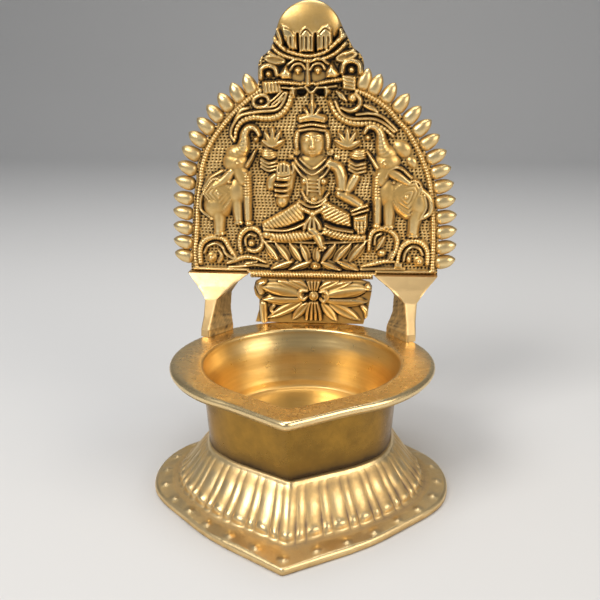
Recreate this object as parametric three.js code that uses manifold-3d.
// Kamakshi oil lamp in cast brass: fluted foot, oil bowl with spout rim, relief back plate on two gusset brackets
// and a flower panel. Millimetres, +Z up, the spout points to -Y, the foot rests on Z = 0.
import * as THREE from 'three';
import { mergeVertices } from 'three/addons/utils/BufferGeometryUtils.js';
import Module from 'manifold-3d';

const wasm = await Module();
wasm.setup();

// ---- driving dimensions ----
const LAMP_HEIGHT = 150;
const SHIFT_Y = 6.7; // bowl axis lies this far behind the middle of the lamp's box
const SEG = 72; // steps round the foot and the bowl
const FLUTES = 36; // ribs round the foot
const FOOT_TIP = 57.7;
const FOOT_TIP_HALF_ANGLE = 57.2;
const FOOT_EDGE = 2.3;
const FOOT_TOP = 16.1;
const FOOT_SEAT = 3.1; // thickness of the seat under the bowl
const GAP = 0.3;
const RIM_TOP = 39.2;
const RIM_TIP = 47.5;
const RIM_TIP_HALF_ANGLE = 55;
const OPENING_R = 31.1;
const SPOUT_TIP = 37;
const FLOOR_R = 26;
const FLOOR_Z = 18.3;
const STUD_R = 2.4;
const STUD_END = 5.5;
const PLATE_BOTTOM = 57.4;
const PLATE_BACK = 44.3;
const PLATE_FRONT = 41.3; // face of the ground between the figures
const PETALS = 15; // per side
const PANEL_HALF = 20.8;
const PANEL_TOP = 55.3;
const PANEL_FRONT = 37.0;
const PANEL_BACK = 40.0;
const ROPE_BOTTOM = 55.6; // the plate's lower edge between the brackets carries the rope moulding
const ROPE_HALF = 22.1;
const RIVET_R = 0.75;
const RIVET_HEAD_R = 2;

const rad = (d) => (d * Math.PI) / 180;

// ---- radius of an outline against the angle from the front, mirrored left to right ----
function outline(knots, tip, half) {
  const line = (d) => (tip * Math.sin(rad(half))) / Math.sin(rad(half + d));
  const k = knots;
  const n = k.length;
  const slope = k.map((p, i) => {
    if (i === 0) return tip ? (line(k[0][0] + 0.5) - line(k[0][0] - 0.5)) : 0;
    if (i === n - 1) return 0;
    return (k[i + 1][1] - k[i - 1][1]) / (k[i + 1][0] - k[i - 1][0]);
  });
  return (deg) => {
    const d = Math.abs(((deg + 180) % 360 + 360) % 360 - 180);
    if (tip && d <= k[0][0]) return line(d);
    let i = 0;
    while (i < n - 2 && d > k[i + 1][0]) i += 1;
    const h = k[i + 1][0] - k[i][0];
    const t = (d - k[i][0]) / h;
    const t2 = t * t;
    const t3 = t2 * t;
    return (2 * t3 - 3 * t2 + 1) * k[i][1] + (t3 - 2 * t2 + t) * h * slope[i]
      + (-2 * t3 + 3 * t2) * k[i + 1][1] + (t3 - t2) * h * slope[i + 1];
  };
}
const footR = outline([[22, 49.2], [45, 46.4], [70, 48.2], [95, 45.2], [120, 38.2], [150, 36], [180, 36]], FOOT_TIP, FOOT_TIP_HALF_ANGLE);
const domeR = outline([[0, 47.6], [22, 42.2], [37, 41], [70, 40.4], [95, 37.4], [120, 32.6], [150, 30.9], [180, 30.8]]);
const jointR = outline([[0, 36.6], [22, 32], [40, 31.6], [54, 31.6], [70, 30.1], [90, 28.6], [120, 28.5], [180, 28.7]]);
const rimR = outline([[22, 39.95], [45, 40.1], [70, 41.3], [95, 42.4], [120, 42.3], [150, 41.4], [180, 41.6]], RIM_TIP, RIM_TIP_HALF_ANGLE);
const openR = (deg) => {
  const d = Math.abs(((deg + 180) % 360 + 360) % 360 - 180);
  const phi = (Math.acos(OPENING_R / SPOUT_TIP) * 180) / Math.PI;
  return d < phi ? OPENING_R / Math.cos(rad(phi - d)) : OPENING_R;
};

// ---- closed meshes ----
function toGeometry(verts, tris) {
  let vol = 0;
  for (const [a, b, c] of tris) {
    const p = verts[a];
    const q = verts[b];
    const r = verts[c];
    vol += p[0] * (q[1] * r[2] - q[2] * r[1]) - p[1] * (q[0] * r[2] - q[2] * r[0]) + p[2] * (q[0] * r[1] - q[1] * r[0]);
  }
  const g = new THREE.BufferGeometry();
  g.setAttribute('position', new THREE.Float32BufferAttribute(verts.flat(), 3));
  g.setIndex(tris.map((t) => (vol < 0 ? [t[0], t[2], t[1]] : t)).flat());
  return g;
}
// profile(deg) gives [radius, z] pairs; poles closes both ends on the axis, otherwise the profile closes on itself
function turned(profile, poles) {
  const verts = [];
  const tris = [];
  const m = profile(0).length;
  for (let i = 0; i < SEG; i += 1) {
    const a = (i * 360) / SEG;
    for (const [r, z] of profile(a)) verts.push([r * Math.sin(rad(a)), -r * Math.cos(rad(a)), z]);
  }
  const id = (i, j) => (i % SEG) * m + (j % m);
  const last = poles ? m - 1 : m;
  for (let i = 0; i < SEG; i += 1) {
    for (let j = 0; j < last; j += 1) {
      tris.push([id(i, j), id(i + 1, j), id(i + 1, j + 1)], [id(i, j), id(i + 1, j + 1), id(i, j + 1)]);
    }
  }
  if (poles) {
    const p = profile(0);
    for (const [j, z] of [[0, p[0][1]], [m - 1, p[m - 1][1]]]) {
      verts.push([0, 0, z]);
      const c = verts.length - 1;
      for (let i = 0; i < SEG; i += 1) tris.push(j === 0 ? [c, id(i + 1, 0), id(i, 0)] : [c, id(i, j), id(i + 1, j)]);
    }
  }
  return toGeometry(verts, tris);
}
function loft(sections) {
  const verts = sections.flat();
  const m = sections[0].length;
  const tris = [];
  for (let s = 0; s < sections.length - 1; s += 1) {
    for (let j = 0; j < m; j += 1) {
      const a = s * m + j;
      const b = s * m + ((j + 1) % m);
      tris.push([a, b, b + m], [a, b + m, a + m]);
    }
  }
  const top = (sections.length - 1) * m;
  for (let j = 1; j < m - 1; j += 1) tris.push([0, j + 1, j], [top, top + j, top + j + 1]);
  return toGeometry(verts, tris);
}
function solid(geometry) {
  const g = geometry.clone();
  g.deleteAttribute('normal');
  g.deleteAttribute('uv');
  const merged = mergeVertices(g, 1e-4);
  return new wasm.Manifold(new wasm.Mesh({
    numProp: 3,
    vertProperties: new Float32Array(merged.attributes.position.array),
    triVerts: new Uint32Array(merged.index.array),
  }));
}
function fromSolid(s) {
  const mesh = s.simplify(0.03).getMesh(); // slivers where two curved faces meet are closed up
  const g = new THREE.BufferGeometry();
  g.setAttribute('position', new THREE.Float32BufferAttribute(Array.from(mesh.vertProperties), 3));
  g.setIndex(Array.from(mesh.triVerts));
  return g;
}
const rod = (r, z0, z1, x, y, seg = 16) => {
  const g = new THREE.CylinderGeometry(r, r, z1 - z0, seg);
  g.rotateX(Math.PI / 2);
  g.translate(x, y, (z0 + z1) / 2);
  return g;
};
// a flat outline in x and z, from y0 in front to y1 behind
function slab(points, y0, y1) {
  const shape = new THREE.Shape(points.map(([x, z]) => new THREE.Vector2(x, z)));
  const g = new THREE.ExtrudeGeometry(shape, { depth: y1 - y0, bevelEnabled: false, steps: 1 });
  g.rotateX(Math.PI / 2); // shape y becomes z, depth becomes -y
  g.translate(0, y1, 0);
  return g;
}
const blob = (x, z, rx, rz, ry, tilt = 0) => {
  const g = new THREE.SphereGeometry(1, 12, 8);
  g.scale(rx, ry, rz);
  g.rotateY(rad(tilt));
  g.translate(x, PLATE_FRONT + 0.2, z);
  return g;
};

// ---- foot: flat border, fluted dome, hollow underside, seat with the stud's hole ----
const footGeometry = turned((a) => {
  const F = footR(a);
  const D = domeR(a);
  const J = jointR(a);
  const f = 0.7 * Math.cos(rad(a * FLUTES));
  const at = (t) => D + (J + 0.6 - D) * t;
  return [
    [F - 0.5, 0], [F, 0.6], [F, 1.7], [F - 0.6, FOOT_EDGE], [D + 1.3, 3.8], [D + 0.7, 3.4], [D + f * 0.6, 4.6],
    [at(0.3) + f, 8.4], [at(0.66) + f * 0.7, 12.4], [J + 0.6, 15.2], [J + 0.1, FOOT_TOP],
    [STUD_R + 0.4, FOOT_TOP], [STUD_R + 0.4, FOOT_TOP - FOOT_SEAT], [J - 2.2, FOOT_TOP - FOOT_SEAT],
    [at(0.6) - 2.8, 8.2], [D - 2.2, 2.4], [F - 6.6, 1.2], [F - 6, 0],
  ];
}, false);

// ---- oil bowl: cup, rim flange with the spout, stud below ----
const bowlGeometry = turned((a) => {
  const J = jointR(a);
  const R = rimR(a);
  const I = openR(a);
  const w = (t) => J + (R - J) * t;
  const spout = (I - OPENING_R) / (SPOUT_TIP - OPENING_R);
  const z0 = FOOT_TOP + GAP;
  return [
    [STUD_R, STUD_END], [STUD_R, z0], [J, z0], [J + 0.2, 17.4], [w(0.03), 21], [w(0.07), 27], [w(0.14), 33], [w(0.3), 35.4],
    [w(0.5), 36.2], [R - 1, 36.5], [R, 37.3], [R - 0.1, 38.6], [R - 0.8, RIM_TOP],
    [I + 0.4, RIM_TOP], [I - 0.1, 38.7], [29.4 + spout * 4.4, 33], [28.2 + spout * 2, 26], [FLOOR_R, 19], [FLOOR_R - 1.6, FLOOR_Z],
  ];
}, true);

const bracketRivets = [[31.75, 24.75], [-31.75, 24.75]];
const panelRivets = [[10, 38.5], [-10, 38.5]];
let bowlSolid = solid(bowlGeometry);
for (const [x, y] of [...bracketRivets, ...panelRivets]) bowlSolid = bowlSolid.subtract(solid(rod(RIVET_R + GAP, 34, 41, x, y)));

// ---- brackets: triangular face under the plate, narrow strut to the rim, deep web behind ----
function bracket(side) {
  const s = [
    [[37.2, 20.4, 39.5], [34, 19.2, 39.5], [26.9, 28.8, 39.5], [28.9, 30.6, 39.5]],
    [[37.2, 20.8, 41.8], [34, 19.6, 41.8], [27, 29.2, 41.8], [29, 31, 41.8]],
    [[37.2, 25.9, 44.5], [33.8, 25, 44.5], [29.2, 37.6, 44.5], [32, 39.2, 44.5]],
    [[37.8, 31.9, 49.2], [33.3, 31.2, 49.2], [29.6, 42.4, 49.2], [33.6, 43.8, 49.2]],
    [[41.2, 35.3, 53.2], [28.4, 34.6, 53.2], [27.2, 43.8, 53.2], [39, 44.2, 53.2]],
    [[44.9, 37.8, 57.1], [22.6, 37.4, 57.1], [22.6, 44.2, 57.1], [44.9, 44.2, 57.1]],
  ];
  return loft(s.map((ring) => ring.map(([x, y, z]) => [x * side, y, z])));
}
const PIN_R = 0.6;
const pins = [[34, 42.8], [-34, 42.8]];
function bracketSolid(side) {
  const k = side > 0 ? 0 : 1;
  return solid(bracket(side))
    .subtract(solid(rod(RIVET_R + GAP, 38, 41.6, ...bracketRivets[k])))
    .subtract(solid(rod(PIN_R + GAP, 54.5, 58, ...pins[k])));
}

// ---- flower panel: leaves round a middle flower, rope moulding on top ----
function leaf(x, z, length, width, angle, y0, y1) {
  const pts = [];
  for (let i = 0; i < 12; i += 1) {
    const t = (i / 12) * Math.PI * 2;
    const u = (Math.cos(t) * length) / 2;
    const v = (Math.sin(t) * width * (0.75 + 0.25 * Math.cos(t))) / 2;
    pts.push([x + u * Math.cos(rad(angle)) - v * Math.sin(rad(angle)), z + u * Math.sin(rad(angle)) + v * Math.cos(rad(angle))]);
  }
  return slab(pts, y0, y1);
}
function panelSolid() {
  const h = PANEL_HALF;
  let s = solid(slab([[-h, 39.5], [h, 39.5], [h, PANEL_TOP], [-h, PANEL_TOP]], PANEL_FRONT, PANEL_BACK));
  for (const m of [-1, 1]) {
    s = s.add(solid(leaf(m * 12.4, 46.6, 13, 5, 0, 35.7, PANEL_FRONT + 0.5)));
    for (const v of [-1, 1]) s = s.add(solid(leaf(m * 8.6, 46.6 + v * 4.1, 9, 3.4, m * v * 38, 35.9, PANEL_FRONT + 0.5)));
  }
  s = s.add(solid(leaf(0, 47, 6, 13.6, 0, 35.8, PANEL_FRONT + 0.5)));
  for (const [x, y] of panelRivets) s = s.subtract(solid(rod(RIVET_R + GAP, 38, 45.5, x, y)));
  return s;
}

// ---- back plate: arch outline, petal border, simplified relief and finial ----
const arch = [[45, PLATE_BOTTOM], [44.6, 64], [44, 76], [43, 88], [41, 96], [37.6, 103.5], [33, 109.6], [28.4, 113.8], [22.6, 118.2], [17.6, 121.6],
  [17, 126], [17.2, 130], [13.6, 135], [11.4, 139], [10.8, 141], [10.2, 143.6], [8.8, 146.4], [6.4, 148.6], [3.2, 149.7]];
const petalTips = [[19, 127], [23.2, 125.9], [28, 122.9], [32.8, 119.5], [36.9, 115.6], [40.6, 111.3], [43.7, 106.2], [46.4, 101], [48.2, 95.2],
  [49.3, 89.6], [50.2, 84], [51, 78.6], [51.3, 73.4], [51.3, 68], [51.1, 62.6]];
function plateSolid() {
  const half = arch;
  const points = [...half, [0, LAMP_HEIGHT], ...half.slice().reverse().map(([x, z]) => [-x, z])];
  let s = solid(slab(points, PLATE_FRONT, PLATE_BACK));
  s = s.add(solid(slab([[-ROPE_HALF, ROPE_BOTTOM], [ROPE_HALF, ROPE_BOTTOM], [ROPE_HALF, 58.6], [-ROPE_HALF, 58.6]], 38.6, PLATE_BACK)));
  for (const m of [-1, 1]) {
    for (let i = 0; i < PETALS; i += 1) {
      const [tx, tz] = petalTips[i];
      const c = [0, 80];
      const a0 = Math.atan2(tz - (i < 9 ? c[1] : 0.35 * c[1] + 0.65 * tz), tx);
      const len = 11;
      const w = 5.4;
      const p = [[0, 0], [-0.22, 0.36], [-0.55, 0.5], [-1, 0.3], [-1, -0.3], [-0.55, -0.5], [-0.22, -0.36]]
        .map(([u, v]) => [m * (tx + u * len * Math.cos(a0) - v * w * Math.sin(a0)), tz + u * len * Math.sin(a0) + v * w * Math.cos(a0)]);
      s = s.add(solid(slab(m > 0 ? p : p.slice().reverse(), 39.9, PLATE_BACK - 1.2)));
    }
    // elephant: body, head, raised trunk, legs
    s = s.add(solid(blob(m * 30.8, 87, 8, 8.6, 3.2)));
    s = s.add(solid(blob(m * 25.2, 96.4, 5, 5.4, 3.6)));
    s = s.add(solid(blob(m * 21.4, 103.6, 2.2, 5.6, 3)));
    s = s.add(solid(blob(m * 33, 77, 2.8, 5.4, 2.6)));
    s = s.add(solid(blob(m * 25.4, 77.6, 2.4, 5.2, 2.8)));
    // arms, knees and lower scroll
    s = s.add(solid(blob(m * 9.6, 91, 2.4, 6, 3, m * 24)));
    s = s.add(solid(blob(m * 13.4, 98.4, 2, 6, 2.6)));
    s = s.add(solid(blob(m * 10, 73.4, 9, 4.6, 3.7)));
    s = s.add(solid(blob(m * 36.6, 64, 3.6, 3.4, 3)));
    s = s.add(solid(blob(m * 23, 66.4, 6, 3.6, 2.4)));
    s = s.add(solid(blob(m * 7.6, 126, 3.8, 3.6, 3.4)));
    s = s.add(solid(blob(m * 14.4, 112, 7, 1.8, 2.2, m * 28)));
  }
  s = s.add(solid(blob(0, 104.2, 5.4, 6, 3.8)));
  s = s.add(solid(blob(0, 112.4, 4.6, 5, 3)));
  s = s.add(solid(blob(0, 89, 8, 10, 3.4)));
  s = s.add(solid(blob(0, 79, 7.4, 5, 3.6)));
  s = s.add(solid(blob(0, 63.4, 16.6, 5, 3.7)));
  s = s.add(solid(blob(0, 126.6, 4.4, 5.4, 3.6)));
  s = s.add(solid(blob(0, 136.6, 10, 3.6, 2.6)));
  s = s.add(solid(blob(0, 144, 9.6, 5.4, 3)));
  for (const [x, y] of pins) s = s.subtract(solid(rod(PIN_R + GAP, 56, 60.4, x, y)));
  const behind = new THREE.BoxGeometry(140, 20, 120); // the cast back is flat
  behind.translate(0, PLATE_BACK + 10, 100);
  return s.subtract(solid(behind));
}

// ---- washer and nut that hold the bowl on the foot ----
const washerSolid = solid(rod(6.5, 11.4, 12.7, 0, 0, 32)).subtract(solid(rod(STUD_R + GAP, 11, 13, 0, 0, 24)));
const nutSolid = solid(rod(4.6, 7.1, 11.1, 0, 0, 6)).subtract(solid(rod(STUD_R + GAP, 6.8, 11.4, 0, 0, 24)));
const rivetSolid = (x, y, top) => solid(rod(RIVET_R, 35.4, top, x, y)).add(solid(rod(RIVET_HEAD_R, 34.2, 35.7, x, y)));

// ---- finishes ----
const brass = (color, roughness) => new THREE.MeshStandardMaterial({ color, roughness, metalness: 1 });
const plateBrass = brass(0xb98f45, 0.35);
const bowlBrass = brass(0xc79a4e, 0.3);
const footBrass = brass(0xcdb27c, 0.35);
const steel = brass(0x9a978f, 0.4);

const lamp = new THREE.Group();
lamp.position.set(0, SHIFT_Y, 0);
const place = (name, geometry, material) => {
  const mesh = new THREE.Mesh(geometry, material);
  mesh.name = name;
  lamp.add(mesh);
};
place('foot_casting', footGeometry, footBrass);
place('oil_bowl', fromSolid(bowlSolid), bowlBrass);
place('clamp_washer', fromSolid(washerSolid), steel);
place('clamp_nut', fromSolid(nutSolid), steel);
place('left_bracket', fromSolid(bracketSolid(-1)), plateBrass);
place('right_bracket', fromSolid(bracketSolid(1)), plateBrass);
place('flower_panel', fromSolid(panelSolid()), plateBrass);
place('back_plate', fromSolid(plateSolid()), plateBrass);
place('right_bracket_rivet', fromSolid(rivetSolid(...bracketRivets[0], 41.3)), bowlBrass);
place('left_bracket_rivet', fromSolid(rivetSolid(...bracketRivets[1], 41.3)), bowlBrass);
place('right_panel_rivet', fromSolid(rivetSolid(...panelRivets[0], 45)), bowlBrass);
place('left_panel_rivet', fromSolid(rivetSolid(...panelRivets[1], 45)), bowlBrass);
place('right_plate_pin', rod(PIN_R, 54.8, 60, ...pins[0]), bowlBrass);
place('left_plate_pin', rod(PIN_R, 54.8, 60, ...pins[1]), bowlBrass);

export default lamp;
